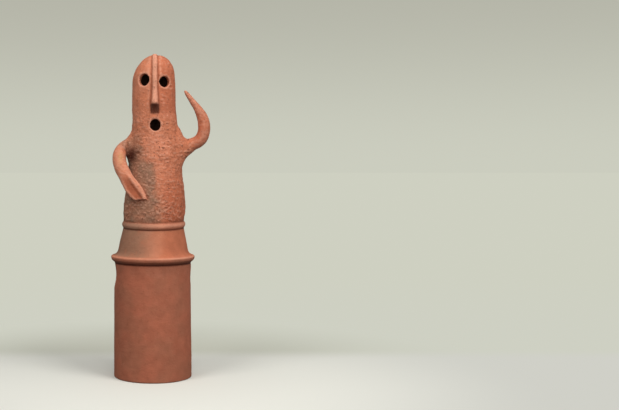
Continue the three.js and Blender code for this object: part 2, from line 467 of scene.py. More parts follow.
@dataclass
class Limb:
    """A solid limb: an oval section carried along a smooth path.

    Near its root the sections stay upright and square to the shoulder, and further out they turn
    square with the path. The distance to it is that to the oval of the section through the point,
    k (k - 1) / g, where k is the point's distance from the path in the section's own half widths and
    g is k's slope.

    Attributes:
        side: The shoulder that it leaves.
        stations: [x, y, z, half width, half thickness] from inside the shoulder to the end.
        turns: The shares of the run between which the sections turn square.
        slab: Thickness of a section when the one that a point belongs to is looked for.
        cap: How far the limb is rounded off past its ends.
        steps: Steps between stations.
        reach: How far from the limb it still matters.
        smear: [share of the run, width of the smeared joint with the body] stations.
    """

    side: Side
    stations: Stations
    smear: Stations
    turns: tuple[float, float] = (0.28, 0.42)
    slab: float = 1.6
    cap: float = 3.0
    steps: int = 9
    reach: float = 12.0

    def __post_init__(self) -> None:
        """Samples the path and the section's axes along it."""
        line = spline(self.stations, self.steps)
        self.path, self.half = line[:, :3], line[:, 3:]
        self.share = np.linspace(0, 1, len(line))
        tangent = np.gradient(self.path, axis=0)
        tangent /= np.linalg.norm(tangent, axis=1, keepdims=True)
        out = np.array([self.side.value, 0.0, 0.0])
        turn = smoothstep(*self.turns, self.share)[:, None]
        tangent = out * (1 - turn) + tangent * turn
        tangent /= np.linalg.norm(tangent, axis=1, keepdims=True)
        across = np.cross(tangent, [0.0, 1.0, 0.0])
        self.across = across / np.linalg.norm(across, axis=1, keepdims=True)
        self.tangent = tangent
        self.through = np.cross(self.across, tangent)
        size = self.half.max(1, keepdims=True) + self.reach
        self.box = (self.path - size).min(0), (self.path + size).max(0)
        self.joint = through(self.smear)

    def near(self, p: Array) -> Array:
        """Which points lie in the box round the limb."""
        return np.all((p > self.box[0]) & (p < self.box[1]), axis=1)

    def section(self, p: Array) -> tuple[Array, Array, Array, Array]:
        """Where each point lies in the limb's own section that passes through it.

        Each sample's section is scored by the squares of the point's places across and through it, in
        its half widths, and of its distance from the section's plane, and the least is taken. The
        point lies between that section and the next one on its side, in proportion to its distances
        from their planes, and their axes and half widths are mixed so. The two ends are rounded off.

        Args:
            p: Points, one row each.

        Returns:
            Share of the run, place across and place through the section in its half widths, and the
            signed distance.
        """
        axes = [self.tangent, self.across / self.half[:, :1], self.through / self.half[:, 1:]]
        start = [(axis * self.path).sum(1) for axis in axes]
        pick = np.empty(len(p), int)
        for rows in np.array_split(np.arange(len(p)), max(1, len(p) // 30000)):
            along, u, v = (p[rows] @ axis.T - zero for axis, zero in zip(axes, start))
            pick[rows] = ((along / self.slab) ** 2 + u**2 + v**2).argmin(1)
        last = len(self.path) - 1
        ahead = ((p - self.path[pick]) * self.tangent[pick]).sum(1)
        pick = np.clip(np.where(ahead > 0, pick, pick - 1), 0, last - 1)
        near = ((p - self.path[pick]) * self.tangent[pick]).sum(1)
        far = ((p - self.path[pick + 1]) * self.tangent[pick + 1]).sum(1)
        part = np.clip(near / np.maximum(near - far, 1e-6), 0, 1)
        w = part[:, None]

        def mixed(values: Array) -> Array:
            return values[pick] * (1 - w) + values[pick + 1] * w

        gap = p - mixed(self.path)
        half = mixed(self.half)
        u = (gap * mixed(self.across)).sum(1)
        v = (gap * mixed(self.through)).sum(1)
        place = pick + part
        over = np.where(place <= 1e-6, np.minimum(near, 0), np.where(place >= last - 1e-6, np.maximum(far, 0), 0.0))
        cap = np.minimum(half.min(1), self.cap)
        k = np.sqrt((u / half[:, 0]) ** 2 + (v / half[:, 1]) ** 2 + (over / cap) ** 2)
        g = np.sqrt((u / half[:, 0] ** 2) ** 2 + (v / half[:, 1] ** 2) ** 2 + (over / cap**2) ** 2)
        distance = np.where(k < 1e-4, -cap, k * (k - 1) / np.maximum(g, 1e-6))
        return place / last, u / half[:, 0], v / half[:, 1], distance

    def shape(self, p: Array, share: Array, u: Array, v: Array, distance: Array) -> Array:
        """The limb's own distance: here as the section gives it."""
        return distance

    def join(self, body: Array, p: Array) -> Array:
        """The body's distance with the limb smeared into it, changed only near the limb.

        Args:
            body: The body's signed distance at each point.
            p: The points.

        Returns:
            The joined distance.
        """
        near = np.flatnonzero(self.near(p))
        if len(near) == 0:
            return body
        q = p[near]
        share, u, v, distance = self.section(q)
        joined = body.copy()
        joined[near] = blend(body[near], self.shape(q, share, u, v, distance), self.joint(share))
        return joined


@dataclass
class RaisedArm(Limb):
    """The arm that hooks up beside the head, tapering to its tip."""

    side: Side = Side.RIGHT
    smear: Stations = ((0, 3), (0.1, 7), (0.2, 9), (0.3, 8), (0.42, 7), (0.6, 6), (1, 4))
    turns: tuple[float, float] = (0.316, 0.453)
    stations: Stations = (
        (28, 0, 452, 34, 12), (36, 0, 452, 41, 18), (44, 0, 452, 43.8, 22.4), (50, 0, 452, 42.8, 23.2),
        (55.4, 0, 452.4, 37, 21.4), (59.2, -0.6, 453, 29.4, 18.8), (64, -1.6, 454.2, 21.8, 16.4),
        (70, -2.8, 457.4, 16.4, 14), (76, -3.8, 461, 13.6, 12.8), (82, -4.6, 463.8, 12.5, 12.2),
        (88.4, -5.2, 466.8, 12.3, 12.1), (96.3, -6, 474.7, 12, 12), (101, -7, 488, 11.8, 12),
        (100.9, -8, 503, 11.7, 11.6), (96.7, -9, 518, 10.5, 10.2), (89.1, -10, 531.8, 8.1, 8.4),
        (79.9, -11, 544.4, 6.3, 6.6), (71, -12, 556.4, 4.8, 5), (65.3, -13, 564.4, 3.4, 3.8),
        (63.9, -13, 566.2, 2.2, 2.6),
    )


@dataclass
class LoweredArm(Limb):
    """The arm that bends down, its flat hand cut off at the end and lying on the belly.

    Attributes:
        cut_at: A point on the cut that ends the hand.
        cut_slope: How steeply the cut rises to the right, in degrees.
        palm: Depth of the hollow pressed into the palm.
        palm_run: The shares of the run over which the palm's hollow deepens.
        palm_edge: Where the hollow ends across the hand, in half widths: its low and its high side,
            which leaves a thick rolled edge along the upper side.
    """

    side: Side = Side.LEFT
    smear: Stations = ((0, 3), (0.1, 6), (0.2, 9), (0.43, 8), (0.52, 3), (0.82, 2.2), (1, 2.2))
    turns: tuple[float, float] = (0.36, 0.485)
    stations: Stations = (
        (-24, 0, 451, 30, 10), (-31, 0, 451.5, 35.5, 17), (-37, -1, 452.2, 36, 21.4), (-42, -2, 453, 31, 21),
        (-46, -4, 454, 25.5, 18.6), (-49, -5.6, 455, 21.2, 16.6), (-52.2, -7.6, 456.6, 17, 15),
        (-55.4, -9.8, 457.2, 13.6, 13.6), (-59.8, -12.6, 454.4, 11.5, 12.6), (-63.8, -15.8, 448.6, 11.9, 12.4),
        (-65.9, -21, 440, 13, 12.6), (-65, -28, 428, 13.4, 12.6), (-60.7, -36, 414.6, 13.5, 12.2),
        (-54.2, -43.2, 402, 13.6, 11.2), (-47.4, -48.6, 389.8, 14.2, 9.6), (-40.6, -52.4, 379.3, 15.4, 7.8),
        (-32.4, -55, 369, 14.6, 6.6), (-25.4, -56.4, 360, 12.4, 6.2), (-20, -57, 350, 10, 6),
    )
    cut_at: tuple[float, float, float] = (-25.4, -56.4, 354.6)
    cut_slope: float = 6.0
    palm: float = 4.0
    palm_run: tuple[float, float] = (0.68, 0.84)
    palm_edge: tuple[float, float] = (-0.95, 0.34)

    def shape(self, p: Array, share: Array, u: Array, v: Array, distance: Array) -> Array:
        """The limb with a hollow pressed into the front of the hand and its end cut square.

        The hollow is a soft step up from the hand's low edge, a steeper one at the rolled edge, times
        a step along the run, on the side that faces front.

        Args:
            p: Points.
            share: Their shares of the limb's run.
            u: Places across the section, in half widths.
            v: Places through it; negative is the front.
            distance: Signed distances to the plain limb.

        Returns:
            The signed distance to the arm and hand.
        """
        low, high = self.palm_edge
        pressed = smoothstep(low, low + 0.7, u) * smoothstep(high + 0.26, high - 0.3, u)
        pressed *= smoothstep(*self.palm_run, share) * smoothstep(0.1, -0.5, v)
        distance = distance + self.palm * pressed
        slope = math.radians(self.cut_slope)
        down = np.array([math.sin(slope), 0.0, -math.cos(slope)])
        beyond = (p - np.array(self.cut_at)) @ down
        return -blend(-distance, -beyond, 1.4)


# ---- The holes ------------------------------------------------------------------------------------


@dataclass(frozen=True)
class Opening:
    """An oval hole bored straight out from the axis.

    Attributes:
        across, up: Its radii.
        z: Its height.
        turn: The way it faces, in degrees round from the front, + to the right.
        rim: How far its rim is rounded off.
    """

    across: float
    up: float
    z: float
    turn: float
    rim: float = 2.2

    def distance(self, p: Array, centre: float) -> Array:
        """Signed distance to the oval bore, k (k - 1) / g in the bore's radii, in front of the axis.

        Args:
            p: Points, one row each.
            centre: How far the wall's centre leans right at the hole's height.

        Returns:
            The distance, large behind the axis.
        """
        turn = math.radians(self.turn)
        x, y, z = p[:, 0] - centre, p[:, 1], p[:, 2] - self.z
        side = x * math.cos(turn) + y * math.sin(turn)
        ahead = x * math.sin(turn) - y * math.cos(turn)
        k = np.sqrt((side / self.across) ** 2 + (z / self.up) ** 2)
        g = np.sqrt((side / self.across**2) ** 2 + (z / self.up**2) ** 2)
        oval = np.where(k < 1e-4, -self.across, k * (k - 1) / np.maximum(g, 1e-6))
        return np.maximum(oval, 6 - ahead)


@dataclass
class Clay:
    """The whole figure's clay as one signed distance.

    Attributes:
        wall: The hollow body.
        ridge: The ridge and nose.
        arms: The two arms.
        openings: The holes through the wall, by name.
    """

    wall: Wall = field(default_factory=Wall)
    ridge: Ridge = field(default_factory=Ridge)
    arms: tuple[Limb, ...] = field(default_factory=lambda: (RaisedArm(), LoweredArm()))
    openings: dict[str, Opening] = field(
        default_factory=lambda: {
            "eye_left": Opening(across=11.4, up=12, z=587.6, turn=-30),
            "eye_right": Opening(across=11.4, up=10.9, z=583.6, turn=32),
            "mouth": Opening(across=10.3, up=11.1, z=499.7, turn=2),
            "side_left": Opening(across=22, up=22.6, z=203.4, turn=-87, rim=3),
            "side_right": Opening(across=22, up=22.6, z=203.4, turn=98, rim=3),
        }
    )

    def distance(self, p: Array) -> Array:
        """The wall raised by the ridge, the arms smeared on, the hollow and the holes cut out."""
        d = self.wall.outside(p)
        high = p[:, 2] > 515
        d[high] -= self.ridge.proud(p[high])
        for arm in self.arms:
            d = arm.join(d, p)
        d = carve(d, self.wall.inside(p), self.wall.inner_rim)
        for hole in self.openings.values():
            near = np.abs(p[:, 2] - hole.z) < hole.up + 12
            centre = float(self.wall.centre(np.array([hole.z]))[0])
            d[near] = carve(d[near], hole.distance(p[near], centre), hole.rim)
        return d

    def slope(self, p: Array, d: Array, step: float = 0.25) -> Array:
        """The distance's slope along x, y and z, by a small step each way."""
        ahead = [self.distance(p + step * np.eye(3)[i]) for i in range(3)]
        return (np.stack(ahead, 1) - d[:, None]) / step


# ---- The net --------------------------------------------------------------------------------------


@dataclass
class Net:
    """A net of four-sided faces drawn over the surface where the clay's distance is zero.

    Space is divided by planes into boxes, closer where the form has fine rings. Each box that the
    surface passes through holds one point, the mean of the places where the surface crosses its edges,
    and each crossed edge joins the points of the four boxes round it into a face. The points are then
    eased towards the middle of their neighbours and moved back on to the surface along its slope.

    Attributes:
        clay: The clay.
        side: Spacing of the planes across and front to back, and of the level ones on the body.
        levels: [height, spacing] stations of the level planes: each spacing holds up to its height.
        eased: How many times the net is eased.
    """

    clay: Clay
    side: float = 1.85
    levels: Stations = ((6, 1.5), (224, 4.6), (247, 1.3), (293, 2.2), (312, 1.4), (645, 1.8))
    eased: int = 3
    points: Array = field(init=False, repr=False)
    faces: Array = field(init=False, repr=False)

    def planes(self) -> list[Array]:
        """The planes' places along x, y and z."""
        x = np.arange(-88, 118, self.side) + 0.37
        y = np.arange(-88, 89, self.side) + 0.53
        z = [np.array([-2.9])]
        for top, step in self.levels:
            low = z[-1][-1]
            z.append(np.linspace(low, top, max(2, round((top - low) / step)) + 1)[1:])
        return [x, y, np.concatenate(z)]

    def draw(self) -> None:
        """Works out the net's points and faces."""
        axes = self.planes()
        x, y, z = axes
        flat = np.stack(np.meshgrid(x, y, indexing="ij"), -1).reshape(-1, 2)
        value = np.empty((len(x), len(y), len(z)), np.float32)
        for rows in np.array_split(np.arange(len(z)), 40):
            spot = np.hstack([np.repeat(flat, len(rows), 0), np.tile(z[rows], len(flat))[:, None]])
            value[:, :, rows] = self.clay.distance(spot).reshape(len(x), len(y), len(rows))
        self.untangle(value)
        inside = value < 0
        corners = list(itertools.product((0, 1), repeat=3))
        size = [n - 1 for n in value.shape]
        count = sum(inside[a : a + size[0], b : b + size[1], c : c + size[2]].astype(np.int8) for a, b, c in corners)
        box = np.argwhere((count > 0) & (count < 8))
        index = np.full(size, -1, np.int32)
        index[tuple(box.T)] = np.arange(len(box))
        at = np.stack([value[tuple((box + c).T)] for c in corners], 1)
        place = np.stack([np.stack([axes[i][box[:, i] + c[i]] for i in range(3)], 1) for c in corners], 1)
        total, hits = np.zeros((len(box), 3)), np.zeros(len(box))
        for a, b in itertools.combinations(range(8), 2):
            if sum(abs(m - n) for m, n in zip(corners[a], corners[b])) != 1:
                continue
            cross = (at[:, a] < 0) != (at[:, b] < 0)
            t = at[:, a] / np.where(cross, at[:, a] - at[:, b], 1)
            total += np.where(cross[:, None], place[:, a] + t[:, None] * (place[:, b] - place[:, a]), 0)
            hits += cross
        self.points = total / hits[:, None]
        self.faces = np.vstack([self.crossed(inside, index, axis) for axis in range(3)])
        self.settle(2)
        for _ in range(self.eased):
            self.ease()
            self.settle(1)
        self.settle(1)

    @staticmethod
    def untangle(value: Array) -> None:
        """Turns the least of the four values round wherever a square of the lattice has its two
        diagonals on opposite sides of the surface, so that no edge of the net joins four faces.

        Args:
            value: The distance at each corner of the boxes, changed in place.
        """
        for _ in range(6):
            found = 0
            for a, b in ((0, 1), (0, 2), (1, 2)):
                v = np.moveaxis(value, (a, b), (0, 1))
                ring = [v[:-1, :-1], v[1:, :-1], v[1:, 1:], v[:-1, 1:]]
                sign = [r < 0 for r in ring]
                crossed = (sign[0] == sign[2]) & (sign[1] == sign[3]) & (sign[0] != sign[1])
                spots = np.argwhere(crossed)
                found += len(spots)
                if len(spots) == 0:
                    continue
                steps = np.array([(0, 0, 0), (1, 0, 0), (1, 1, 0), (0, 1, 0)])
                places = spots[:, None] + steps
                four = v[tuple(np.moveaxis(places, 2, 0))]
                least = places[np.arange(len(spots)), np.abs(four).argmin(1)]
                at = tuple(least.T)
                v[at] = -np.sign(v[at]) * 0.02
            if not found:
                break

    @staticmethod
    def crossed(inside: Array, index: Array, axis: int) -> Array:
        """The faces of the edges along one axis that the surface crosses, turned to face outwards.

        Args:
            inside: Whether each corner of the boxes lies in the clay.
            index: The number of each box's point, or -1.
            axis: 0, 1 or 2.

        Returns:
            Four point numbers per face.
        """
        low = np.moveaxis(inside, axis, 0)
        change = np.argwhere(low[:-1] != low[1:])
        full = np.zeros((len(change), 3), int)
        others = [i for i in range(3) if i != axis]
        full[:, axis] = change[:, 0]
        full[:, others[0]], full[:, others[1]] = change[:, 1], change[:, 2]
        b, c = (axis + 1) % 3, (axis + 2) % 3
        ring = []
        for db, dc in ((-1, -1), (0, -1), (0, 0), (-1, 0)):
            cell = full.copy()
            cell[:, b] += db
            cell[:, c] += dc
            ring.append(index[tuple(cell.T)])
        quad = np.stack(ring, 1)
        outwards = inside[tuple(full.T)]
        return np.where(outwards[:, None], quad, quad[:, ::-1])

    def settle(self, times: int) -> None:
        """Moves each point back on to the surface: less its distance times the slope over the slope's
        square."""
        for _ in range(times):
            d = self.clay.distance(self.points)
            g = self.clay.slope(self.points, d)
            move = d[:, None] * g / np.maximum((g**2).sum(1, keepdims=True), 0.2)
            self.points -= np.clip(move, -1.5, 1.5)

    def ease(self) -> None:
        """Moves each point half way to the mean of the points that share an edge with it."""
        self.points += 0.5 * (neighbours(self.points, self.faces) - self.points)


def neighbours(values: Array, faces: Array) -> Array:
    """The mean of values over each point's neighbours along the edges of four-sided faces.

    Args:
        values: One row per point.
        faces: Four point numbers per face.

    Returns:
        One row per point.
    """
    a, b = faces.ravel(), np.roll(faces, -1, axis=1).ravel()
    count = np.bincount(a, minlength=len(values)) + np.bincount(b, minlength=len(values))
    total = np.stack(
        [
            np.bincount(a, values[b, i], len(values)) + np.bincount(b, values[a, i], len(values))
            for i in range(values.shape[1])
        ],
        1,
    )
    return total / np.maximum(count, 1)[:, None]


def facing(points: Array, faces: Array) -> Array:
    """The unit normal at each point: the sum of its faces' normals, each as long as its face is large.
    A three-sided face has its third point twice."""
    diagonal = points[faces[:, 2]] - points[faces[:, 0]], points[faces[:, 3]] - points[faces[:, 1]]
    normal = np.cross(*diagonal)
    total = np.stack([np.bincount(faces.ravel(), np.repeat(normal[:, i], 4), len(points)) for i in range(3)], 1)
    return total / np.maximum(np.linalg.norm(total, axis=1, keepdims=True), 1e-9)


# ---- The skin -------------------------------------------------------------------------------------


@dataclass(frozen=True)
class Mark:
    """A single pit, chip or lump on the front: its place across and up, its size, and how deep it is
    (a lump is negative)."""

    x: float
    z: float
    across: float
    up: float
    depth: float

    def bell(self, p: Array, n: Array) -> Array:
        """A bell over the place, on surfaces that face front."""
        return mound(p[:, 0] - self.x, self.across) * mound(p[:, 2] - self.z, self.up) * (n[:, 1] < 0)


@dataclass
class Skin:
    """The clay's surface: the potter's strokes, the grain, the pits, and where its colour changes.

    Attributes:
        clay: The form under the skin.
        points, faces: The net.
        marks: Single pits, chips and lumps.
        smoke_edge: [height, x] stations of the right edge of the smoke cloud on the torso.
        stroke: Heights of the strokes on the head and on the torso.
        grain: Height of the coarse grain.
        pits: Depth of the pits.
    """

    clay: Clay
    points: Array
    faces: Array
    marks: tuple[Mark, ...] = (
        Mark(x=-29.5, z=445.5, across=3.6, up=2.6, depth=3.2),
        Mark(x=-23, z=449.5, across=3, up=2.2, depth=-0.9),
        Mark(x=35, z=575.2, across=2.4, up=2.2, depth=2.0),
        Mark(x=21.6, z=552.4, across=3.2, up=1.6, depth=0.9),
        Mark(x=17.4, z=545.2, across=2.2, up=1.8, depth=0.8),
        Mark(x=28.6, z=543.6, across=2.4, up=1.8, depth=0.6),
        Mark(x=16.6, z=598.6, across=2.4, up=1.8, depth=-0.8),
        Mark(x=30.4, z=620.4, across=2.6, up=2.2, depth=-0.8),
    )
    smoke_edge: Stations = (
        (296, 13), (311, 12), (331, 12.9), (341, 11), (350, 7), (362, 2.5), (375, 0.5), (393, 0.3), (412, -3.6),
        (432, -9.4), (451, -19), (476, -29), (500, -36),
    )
    stroke: tuple[float, float] = (0.26, 0.5)
    grain: float = 0.6
    pits: float = 1.0

    def __post_init__(self) -> None:
        """Sorts the points by the part of the figure that they lie on."""
        p = self.points
        self.normal = facing(p, self.faces)
        _, self.z, self.turn = self.clay.wall.upright(p)
        hollow = self.clay.wall.inside(p)
        self.inner = smoothstep(2.5, 0.5, hollow)
        self.arm = {}
        for limb in self.clay.arms:
            near = np.flatnonzero(limb.near(p))
            share, u, v, distance = limb.section(p[near])
            distance = limb.shape(p[near], share, u, v, distance)
            if limb.side is Side.LEFT:
                self.palm = np.zeros(len(p))
                self.palm[near] = smoothstep(-0.9, -0.4, u) * smoothstep(0.5, 0.2, u) * smoothstep(0.1, -0.5, v)
            on = np.zeros(len(p))
            on[near] = smoothstep(2.2, 0.7, np.abs(distance)) * smoothstep(0.4, 0.5, share)
            run = np.zeros(len(p))
            run[near] = share
            self.arm[limb.side] = on, run
        self.limb = np.maximum(self.arm[Side.LEFT][0], self.arm[Side.RIGHT][0])
        self.upper = smoothstep(306, 314, self.z)
        self.head = smoothstep(505, 535, self.z) * (1 - self.limb)

    def rough(self) -> Array:
        """How rough the clay is at each point, 0 to 1: most on the torso, less on the head and the
        arms, hardly below the belt."""
        torso = self.upper * (1 - 0.62 * self.head) * (1 - 0.68 * self.limb)
        return (0.07 + 0.93 * torso) * (1 - self.inner)

    def worn_patch(self) -> Array:
        """The pitted patch low on the right of the torso: two bells, over height and over the turn."""
        return mound(self.z - 332, 21) * mound(self.turn - 24, 24) * self.upper

    def relief(self) -> Array:
        """How far the surface is moved out at each point.

        The sum of slow unevenness from building by hand, long strokes (down the head, across the
        torso), a coarse grain, round pits and a few single marks.

        Returns:
            Millimetres along the normal.
        """
        p, rough, outer = self.points, self.rough(), 1 - self.inner
        slow = layers(p, (46, 46, 30), 11, 2) * (0.3 + 0.5 * self.upper)
        down = ripple(p, (5.2, 5.2, 60), 21) * self.stroke[0] * self.head
        over = layers(p, (17, 17, 6.5), 31, 2) * self.stroke[1] * rough
        grain = layers(p, (5.6, 5.6, 4.2), 41, 2) * self.grain * rough
        torn = smoothstep(0.28, 0.75, layers(p, (8.5, 8.5, 4.6), 51, 2)) * smoothstep(-0.2, 0.4, ripple(p, 30, 55))
        pits = torn * self.pits * rough * (1 - 0.75 * self.head)
        gouged = smoothstep(0.12, 0.6, layers(p, (9, 9, 4.4), 61, 2))
        pits += gouged * 1.5 * self.worn_patch() * outer
        lumps = smoothstep(0.3, 0.8, layers(p, (7, 7, 5), 71, 2)) * 0.55 * rough
        single = sum(m.depth * m.bell(p, self.normal) for m in self.marks)
        return slow + outer * (down + over + grain + lumps - pits - single)

    def curvature(self, points: Array, faces: Array, times: int) -> Array:
        """How far each point lies below the mean of its neighbours, along the normal: positive in a
        hollow, negative on an edge. The neighbours' values are averaged over a number of times."""
        bend = ((neighbours(points, faces) - points) * self.normal).sum(1, keepdims=True)
        for _ in range(times):
            bend = 0.5 * bend + 0.5 * neighbours(bend, faces)
        return bend[:, 0]

    def tones(self) -> dict[str, Array]:
        """Where the clay's colour changes: a value from 0 to 1 at each point for each tone.

        Smoke is the grey-brown cloud left by the fire down the left of the torso, ember the redder
        clay on the right, turned the plainer red-brown of the cylinder. The pale tone is real wear on the
        rubbed edges, with painted highlights along the ridge's crest and round the belt's bulge. The
        near-black tone is painted shade under the left arm, the nose and the brim, in the creases by the
        belt and in the palm's hollow. The dark red tone is painted shade in the hollows, and inner marks the
        inside, which the finish paints near black as its shade. Each is a product of soft steps over height,
        place across and turn, with its edge broken up by noise.

        Returns:
            The tones by name.
        """
        p, z, turn, x = self.points, self.z, self.turn, self.points[:, 0]
        across, front = x - self.clay.ridge.x, (p[:, 1] < 0).astype(float)
        ragged = layers(p, 16, 81, 3)
        edge = through(self.smoke_edge)(z)
        smoke = smoothstep(11, -9, x - edge + 15 * ragged) * smoothstep(486, 458, z + 10 * ragged)
        smoke *= self.upper * (1 - self.limb) * smoothstep(-168, -150, turn) * smoothstep(150, 120, turn)
        smoke *= 0.72 + 0.4 * layers(p, 22, 91, 2)
        skirt = smoothstep(241, 246, z) * (1 - self.upper)
        smoke = np.maximum(smoke, skirt * (0.18 + 0.6 * smoothstep(16, -34, x + 8 * ragged)))
        ember = smoothstep(6, 34, x + 9 * ragged) * smoothstep(452, 340, z) * self.upper * (1 - self.limb)
        ember = np.maximum(ember, 0.8 * skirt * smoothstep(8, 30, x + 7 * ragged))
        ember = np.maximum(ember, 0.8 * smoothstep(-4, 24, x) * np.maximum(self.head, self.arm[Side.RIGHT][0]))
        turned = 0.85 * smoothstep(241.5, 239, z) + 0.15 * smoothstep(232, 228, z)
        # Real wear: convex edges rubbed paler.
        rim = smoothstep(0.012, 0.085, -self.curvature(self.points, self.faces, 2))
        crest = smoothstep(520, 532, z) * smoothstep(5.2, 2.6, np.abs(across)) * front
        ring = (1 - 0.75 * turned) * (1 - 0.6 * skirt)
        # Painted highlight along the ridge's crest from the nose's tip up, added to the rubbed edges.
        worn = rim * 0.7 * ring + 0.6 * crest * smoothstep(541, 545, z)
        # Painted highlight in a band round the belt's bulge; the pale tone is halved low on the left of the torso.
        worn = np.clip(np.maximum(worn, 0.75 * mound(z - 304.5, 4.5)) * (1 - 0.5 * smoothstep(20, -30, x) * smoothstep(330, 310, z)), 0, 1)
        # Painted shade: darker in the hollows, by how far each point lies below its neighbours.
        sunk = smoothstep(0.02, 0.16, self.curvature(self.points, self.faces, 1))
        # Painted shade: near black on the torso under the left arm, where the arm shades it.
        soot = 1.15 * mound(x + 42, 11.5) * mound(z - 441, 15) * smoothstep(6, -10, p[:, 1]) * (1 - self.limb)
        # Painted shade on the nose's underside, below its tip.
        under_nose = smoothstep(543, 539, z) * smoothstep(519, 524, z) * smoothstep(9.5, 7.5, np.abs(across))
        soot = np.maximum(soot, 0.9 * under_nose * front)
        # Painted shade on the brim's underside and in the crease where it meets the cylinder.
        soot = np.maximum(soot, 0.85 * mound(z - 228.2, 2.0) + 0.45 * smoothstep(228, 229, z) * smoothstep(236, 233.5, z))
        # Painted shade in the crease under the belt.
        soot = np.maximum(soot, 0.9 * mound(z - 296.4, 1.6))
        # Painted shade, faint, in the crease above the belt.
        soot = np.maximum(soot, 0.3 * mound(z - 311.6, 2.0))
        # Painted shade, faint, on the top of the cylinder under the brim; none of this shade is laid on the inside.
        soot = np.maximum(soot, 0.2 * smoothstep(202, 224, z) * smoothstep(231, 229, z)) * (1 - self.inner)
        on, run = self.arm[Side.LEFT]
        hollow = on * smoothstep(0.7, 0.8, run) * self.palm
        ember = np.maximum(ember, 0.9 * hollow)
        # Painted shade in the palm's hollow.
        soot = np.maximum(soot, 0.26 * hollow)
        stain = on * mound(run - 0.6, 0.05) * mound(x + 63, 5)
        return {
            "smoke": np.clip(smoke, 0, 1),
            "ember": np.clip(ember, 0, 1),
            "turned": turned,
            "worn": worn,
            "sunk": sunk,
            "stain": np.clip(stain, 0, 1),
            "soot": np.clip(soot, 0, 1),
            "rough": self.rough(),
            "inner": self.inner,
        }

    def finish(self) -> tuple[Array, dict[str, Array]]:
        """The points moved out by the relief, and the tones on them.

        Returns:
            The points and the tones by name.
        """
        self.points = self.points + self.normal * self.relief()[:, None]
        self.points[:, 2] = np.where(self.z < 0.4, np.maximum(self.points[:, 2], 0), self.points[:, 2])
        return self.points, self.tones()


# ---- The finish -----------------------------------------------------------------------------------

Colour = tuple[float, float, float]


class Graph:
    """A material's nodes, with short calls that add one node and return what comes out of it."""

    def __init__(self, name: str) -> None:
        """Makes an empty material of that name."""
        self.material = bpy.data.materials.new(name)
        self.material.use_nodes = True
        self.tree = self.material.node_tree
        self.tree.nodes.clear()

    def add(self, kind: str, outlet: str | int = 0, settings: dict | None = None, **inlets: object):
        """Adds a node.

        Args:
            kind: The node's type.
            outlet: Which of its outputs is returned.
            settings: Its own settings by name.
            inlets: Its inputs by name, with _ for a space: a number, a colour or another output.

        Returns:
            The output.
        """
        node = self.tree.nodes.new(kind)
        for name, value in (settings or {}).items():
            setattr(node, name, value)
        for name, value in inlets.items():
            socket = node.inputs[int(name[1:]) if name[1:].isdigit() else name.replace("_", " ")]
            if isinstance(value, bpy.types.NodeSocket):
                self.tree.links.new(value, socket)
            else:
                socket.default_value = (*value, 1.0) if isinstance(value, tuple) and len(value) == 3 else value
        return node.outputs[outlet]

    def surface(self, shader: bpy.types.NodeSocket) -> None:
        """Ends the material, or the world, in that shader."""
        kind = "World" if isinstance(self.tree.id_data, bpy.types.World) else "Material"
        out = self.tree.nodes.new("ShaderNodeOutput" + kind)
        self.tree.links.new(shader, out.inputs["Surface"])

    def tone(self, name: str):
        """The mesh's own value of that name."""
        return self.add("ShaderNodeAttribute", "Fac", {"attribute_name": name})

    def math(self, operation: str, a: object, b: object = 0.0):
        """One sum, product or other operation on two numbers."""
        return self.add("ShaderNodeMath", 0, {"operation": operation}, _0=a, _1=b)

    def mix(self, share: object, a: object, b: object, way: str = "MIX"):
        """Two colours mixed in that way by that share."""
        settings = {"data_type": "RGBA", "blend_type": way, "clamp_factor": True}
        return self.add("ShaderNodeMix", 2, settings, _0=share, _6=a, _7=b)

    def between(self, value: object, low: float, high: float):
        """A number turned to 0 at low and 1 at high, held outside, with soft ends."""
        settings = {"interpolation_type": "SMOOTHSTEP"}
        return self.add("ShaderNodeMapRange", 0, settings, Value=value, From_Min=low, From_Max=high)

    def noise(self, place: object, size: float, detail: float = 2.0, stretch: tuple[float, float, float] = (1, 1, 1)):
        """Noise whose lumps are about size metres, drawn out by stretch."""
        scaled = self.add("ShaderNodeMapping", 0, None, Vector=place, Scale=[1 / s for s in stretch])
        return self.add("ShaderNodeTexNoise", "Fac", None, Vector=scaled, Scale=0.5 / size, Detail=detail)


